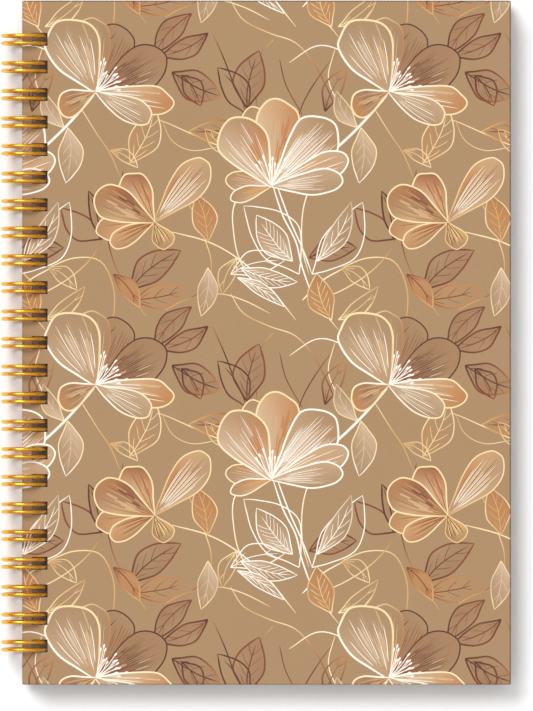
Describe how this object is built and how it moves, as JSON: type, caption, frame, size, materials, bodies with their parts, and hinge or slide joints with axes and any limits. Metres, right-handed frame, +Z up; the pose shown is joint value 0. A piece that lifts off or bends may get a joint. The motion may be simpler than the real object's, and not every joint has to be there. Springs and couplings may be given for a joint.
{
  "type": "sketchbook",
  "caption": "Wire-bound hardcover sketchbook with a printed floral cover, drawing paper and a gold twin-loop binding; every leaf turns.",
  "frame": {"origin": "middle of the closed book's footprint, at the level of the wire's lowest point, on which it lies", "axes": "+X from the wire spine to the fore-edge, +Y from tail to head, +Z up through the closed book to its front cover"},
  "size_m": [0.1566, 0.21, 0.0143],
  "materials": {
    "printed_wrap": "matt laminated print, warm tan with gold, cream and brown line flowers",
    "board": "dense grey-brown bookbinder's board, raw at the punched holes",
    "liner_paper": "smooth cream endpaper",
    "drawing_paper": "natural white drawing paper with a fine tooth",
    "gold_wire": "bright gold-plated round wire"
  },
  "bodies": {
    "back_cover": {"back_wrap": "printed_wrap", "back_board": "board", "back_liner": "liner_paper"},
    "front_cover": {"front_wrap": "printed_wrap", "front_board": "board", "front_liner": "liner_paper"},
    "wire": {"binding_wire": "gold_wire"},
    "sheet_01": {"sheet_01": "drawing_paper"},
    "sheet_02": {"sheet_02": "drawing_paper"},
    "sheet_03": {"sheet_03": "drawing_paper"},
    "sheet_04": {"sheet_04": "drawing_paper"},
    "sheet_05": {"sheet_05": "drawing_paper"},
    "sheet_06": {"sheet_06": "drawing_paper"},
    "sheet_07": {"sheet_07": "drawing_paper"},
    "sheet_08": {"sheet_08": "drawing_paper"},
    "sheet_09": {"sheet_09": "drawing_paper"},
    "sheet_10": {"sheet_10": "drawing_paper"},
    "sheet_11": {"sheet_11": "drawing_paper"},
    "sheet_12": {"sheet_12": "drawing_paper"},
    "sheet_13": {"sheet_13": "drawing_paper"},
    "sheet_14": {"sheet_14": "drawing_paper"},
    "sheet_15": {"sheet_15": "drawing_paper"},
    "sheet_16": {"sheet_16": "drawing_paper"},
    "sheet_17": {"sheet_17": "drawing_paper"},
    "sheet_18": {"sheet_18": "drawing_paper"},
    "sheet_19": {"sheet_19": "drawing_paper"},
    "sheet_20": {"sheet_20": "drawing_paper"},
    "sheet_21": {"sheet_21": "drawing_paper"},
    "sheet_22": {"sheet_22": "drawing_paper"},
    "sheet_23": {"sheet_23": "drawing_paper"},
    "sheet_24": {"sheet_24": "drawing_paper"},
    "sheet_25": {"sheet_25": "drawing_paper"},
    "sheet_26": {"sheet_26": "drawing_paper"},
    "sheet_27": {"sheet_27": "drawing_paper"},
    "sheet_28": {"sheet_28": "drawing_paper"},
    "sheet_29": {"sheet_29": "drawing_paper"},
    "sheet_30": {"sheet_30": "drawing_paper"}
  },
  "joints": [
    {"name": "front_cover_turn", "type": "hinge", "parent": "sheet_01", "child": "front_cover", "pos_m": [-0.07186, 0, 0.00715], "axis": [0, -1, 0], "range_deg": [0, 180]},
    {"name": "wire_spin", "type": "hinge", "parent": "back_cover", "child": "wire", "pos_m": [-0.07116, 0, 0.00715], "axis": [0, 1, 0], "range_deg": [-15, 15]},
    {"name": "sheet_01_turn", "type": "hinge", "parent": "sheet_02", "child": "sheet_01", "pos_m": [-0.07186, 0, 0.00715], "axis": [0, -1, 0], "range_deg": [0, 180]},
    {"name": "sheet_02_turn", "type": "hinge", "parent": "sheet_03", "child": "sheet_02", "pos_m": [-0.07186, 0, 0.00715], "axis": [0, -1, 0], "range_deg": [0, 180]},
    {"name": "sheet_03_turn", "type": "hinge", "parent": "sheet_04", "child": "sheet_03", "pos_m": [-0.07186, 0, 0.00715], "axis": [0, -1, 0], "range_deg": [0, 180]},
    {"name": "sheet_04_turn", "type": "hinge", "parent": "sheet_05", "child": "sheet_04", "pos_m": [-0.07186, 0, 0.00715], "axis": [0, -1, 0], "range_deg": [0, 180]},
    {"name": "sheet_05_turn", "type": "hinge", "parent": "sheet_06", "child": "sheet_05", "pos_m": [-0.07186, 0, 0.00715], "axis": [0, -1, 0], "range_deg": [0, 180]},
    {"name": "sheet_06_turn", "type": "hinge", "parent": "sheet_07", "child": "sheet_06", "pos_m": [-0.07186, 0, 0.00715], "axis": [0, -1, 0], "range_deg": [0, 180]},
    {"name": "sheet_07_turn", "type": "hinge", "parent": "sheet_08", "child": "sheet_07", "pos_m": [-0.07186, 0, 0.00715], "axis": [0, -1, 0], "range_deg": [0, 180]},
    {"name": "sheet_08_turn", "type": "hinge", "parent": "sheet_09", "child": "sheet_08", "pos_m": [-0.07186, 0, 0.00715], "axis": [0, -1, 0], "range_deg": [0, 180]},
    {"name": "sheet_09_turn", "type": "hinge", "parent": "sheet_10", "child": "sheet_09", "pos_m": [-0.07186, 0, 0.00715], "axis": [0, -1, 0], "range_deg": [0, 180]},
    {"name": "sheet_10_turn", "type": "hinge", "parent": "sheet_11", "child": "sheet_10", "pos_m": [-0.07186, 0, 0.00715], "axis": [0, -1, 0], "range_deg": [0, 180]},
    {"name": "sheet_11_turn", "type": "hinge", "parent": "sheet_12", "child": "sheet_11", "pos_m": [-0.07186, 0, 0.00715], "axis": [0, -1, 0], "range_deg": [0, 180]},
    {"name": "sheet_12_turn", "type": "hinge", "parent": "sheet_13", "child": "sheet_12", "pos_m": [-0.07186, 0, 0.00715], "axis": [0, -1, 0], "range_deg": [0, 180]},
    {"name": "sheet_13_turn", "type": "hinge", "parent": "sheet_14", "child": "sheet_13", "pos_m": [-0.07186, 0, 0.00715], "axis": [0, -1, 0], "range_deg": [0, 180]},
    {"name": "sheet_14_turn", "type": "hinge", "parent": "sheet_15", "child": "sheet_14", "pos_m": [-0.07186, 0, 0.00715], "axis": [0, -1, 0], "range_deg": [0, 180]},
    {"name": "sheet_15_turn", "type": "hinge", "parent": "sheet_16", "child": "sheet_15", "pos_m": [-0.07186, 0, 0.00715], "axis": [0, -1, 0], "range_deg": [0, 180]},
    {"name": "sheet_16_turn", "type": "hinge", "parent": "sheet_17", "child": "sheet_16", "pos_m": [-0.07186, 0, 0.00715], "axis": [0, -1, 0], "range_deg": [0, 180]},
    {"name": "sheet_17_turn", "type": "hinge", "parent": "sheet_18", "child": "sheet_17", "pos_m": [-0.07186, 0, 0.00715], "axis": [0, -1, 0], "range_deg": [0, 180]},
    {"name": "sheet_18_turn", "type": "hinge", "parent": "sheet_19", "child": "sheet_18", "pos_m": [-0.07186, 0, 0.00715], "axis": [0, -1, 0], "range_deg": [0, 180]},
    {"name": "sheet_19_turn", "type": "hinge", "parent": "sheet_20", "child": "sheet_19", "pos_m": [-0.07186, 0, 0.00715], "axis": [0, -1, 0], "range_deg": [0, 180]},
    {"name": "sheet_20_turn", "type": "hinge", "parent": "sheet_21", "child": "sheet_20", "pos_m": [-0.07186, 0, 0.00715], "axis": [0, -1, 0], "range_deg": [0, 180]},
    {"name": "sheet_21_turn", "type": "hinge", "parent": "sheet_22", "child": "sheet_21", "pos_m": [-0.07186, 0, 0.00715], "axis": [0, -1, 0], "range_deg": [0, 180]},
    {"name": "sheet_22_turn", "type": "hinge", "parent": "sheet_23", "child": "sheet_22", "pos_m": [-0.07186, 0, 0.00715], "axis": [0, -1, 0], "range_deg": [0, 180]},
    {"name": "sheet_23_turn", "type": "hinge", "parent": "sheet_24", "child": "sheet_23", "pos_m": [-0.07186, 0, 0.00715], "axis": [0, -1, 0], "range_deg": [0, 180]},
    {"name": "sheet_24_turn", "type": "hinge", "parent": "sheet_25", "child": "sheet_24", "pos_m": [-0.07186, 0, 0.00715], "axis": [0, -1, 0], "range_deg": [0, 180]},
    {"name": "sheet_25_turn", "type": "hinge", "parent": "sheet_26", "child": "sheet_25", "pos_m": [-0.07186, 0, 0.00715], "axis": [0, -1, 0], "range_deg": [0, 180]},
    {"name": "sheet_26_turn", "type": "hinge", "parent": "sheet_27", "child": "sheet_26", "pos_m": [-0.07186, 0, 0.00715], "axis": [0, -1, 0], "range_deg": [0, 180]},
    {"name": "sheet_27_turn", "type": "hinge", "parent": "sheet_28", "child": "sheet_27", "pos_m": [-0.07186, 0, 0.00715], "axis": [0, -1, 0], "range_deg": [0, 180]},
    {"name": "sheet_28_turn", "type": "hinge", "parent": "sheet_29", "child": "sheet_28", "pos_m": [-0.07186, 0, 0.00715], "axis": [0, -1, 0], "range_deg": [0, 180]},
    {"name": "sheet_29_turn", "type": "hinge", "parent": "sheet_30", "child": "sheet_29", "pos_m": [-0.07186, 0, 0.00715], "axis": [0, -1, 0], "range_deg": [0, 180]},
    {"name": "sheet_30_turn", "type": "hinge", "parent": "back_cover", "child": "sheet_30", "pos_m": [-0.07186, 0, 0.00715], "axis": [0, -1, 0], "range_deg": [0, 180]}
  ]
}
